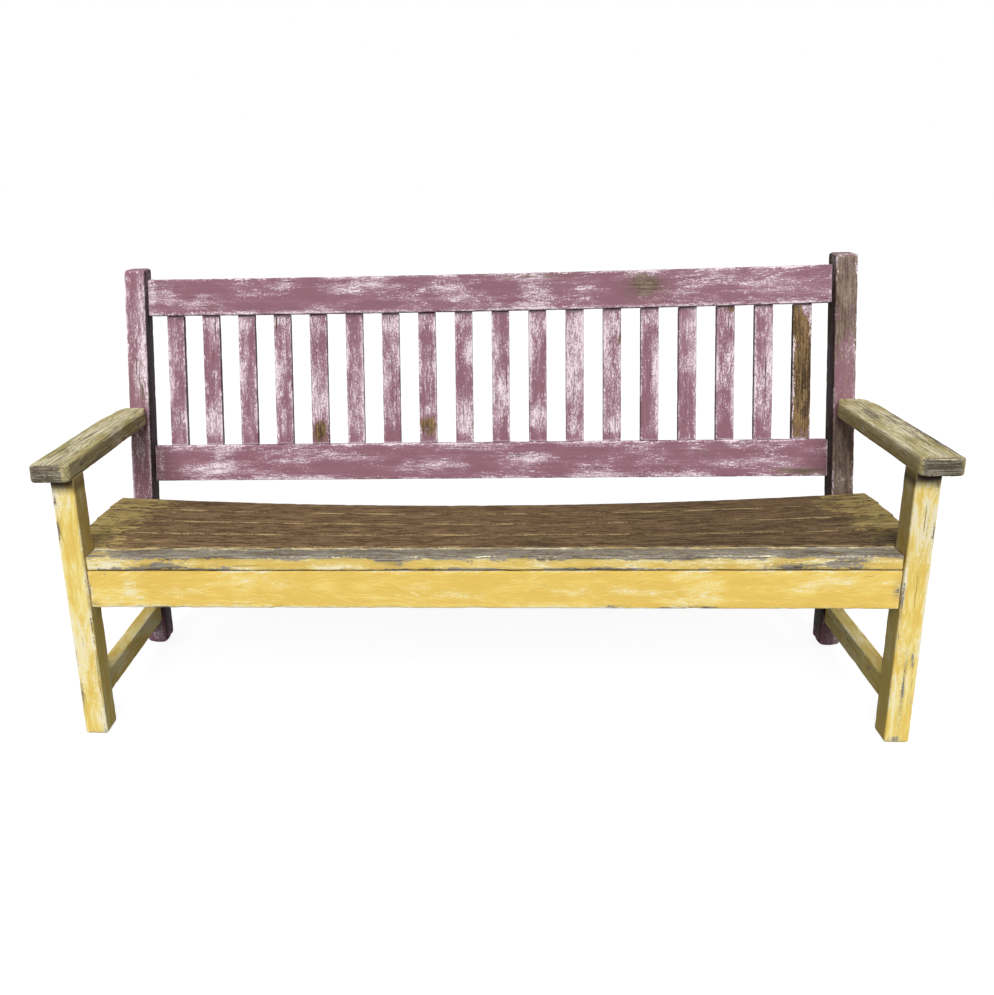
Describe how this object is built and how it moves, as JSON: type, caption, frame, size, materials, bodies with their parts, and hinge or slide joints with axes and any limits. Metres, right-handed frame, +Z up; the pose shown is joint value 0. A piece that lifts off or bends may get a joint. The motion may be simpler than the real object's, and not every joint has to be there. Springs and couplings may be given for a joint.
{
  "type": "slatted bench",
  "caption": "Free-standing wooden bench with flat armrests, a leaning back of upright slats between two rails, a sagging slatted seat and worn mauve and yellow paint.",
  "frame": {"origin": "on the floor, at the middle of the bench's overall width and depth", "axes": "+X along the bench to the sitter's left, seen as right in the picture; +Y to the back; +Z up"},
  "size_m": [1.812, 0.5987, 0.948],
  "materials": {
    "mauve_painted_wood": "worn mauve paint, pale undercoat showing",
    "yellow_painted_wood": "worn yellow paint, cream undercoat showing",
    "weathered_arm_wood": "weathered wood with remains of yellow paint",
    "worn_seat_wood": "bare brown wood, paint left at the ends",
    "nail_steel": "dull rusted steel"
  },
  "bodies": {
    "root": {"left_rear_post": "mauve_painted_wood", "right_rear_post": "mauve_painted_wood", "crest_rail": "mauve_painted_wood", "lower_back_rail": "mauve_painted_wood", "back_slat_01": "mauve_painted_wood", "back_slat_02": "mauve_painted_wood", "back_slat_03": "mauve_painted_wood", "back_slat_04": "mauve_painted_wood", "back_slat_05": "mauve_painted_wood", "back_slat_06": "mauve_painted_wood", "back_slat_07": "mauve_painted_wood", "back_slat_08": "mauve_painted_wood", "back_slat_09": "mauve_painted_wood", "back_slat_10": "mauve_painted_wood", "back_slat_11": "mauve_painted_wood", "back_slat_12": "mauve_painted_wood", "back_slat_13": "mauve_painted_wood", "back_slat_14": "mauve_painted_wood", "back_slat_15": "mauve_painted_wood", "back_slat_16": "mauve_painted_wood", "back_slat_17": "mauve_painted_wood", "back_slat_18": "mauve_painted_wood", "left_front_leg": "yellow_painted_wood", "right_front_leg": "yellow_painted_wood", "front_seat_rail": "yellow_painted_wood", "left_stretcher": "yellow_painted_wood", "right_stretcher": "yellow_painted_wood", "left_side_rail": "yellow_painted_wood", "right_side_rail": "yellow_painted_wood", "front_seat_slat": "yellow_painted_wood", "left_armrest": "weathered_arm_wood", "right_armrest": "weathered_arm_wood", "seat_slat_2": "worn_seat_wood", "seat_slat_3": "worn_seat_wood", "seat_slat_4": "worn_seat_wood", "seat_slat_5": "worn_seat_wood", "middle_seat_bearer": "worn_seat_wood", "seat_nails": "nail_steel"}
  },
  "joints": []
}
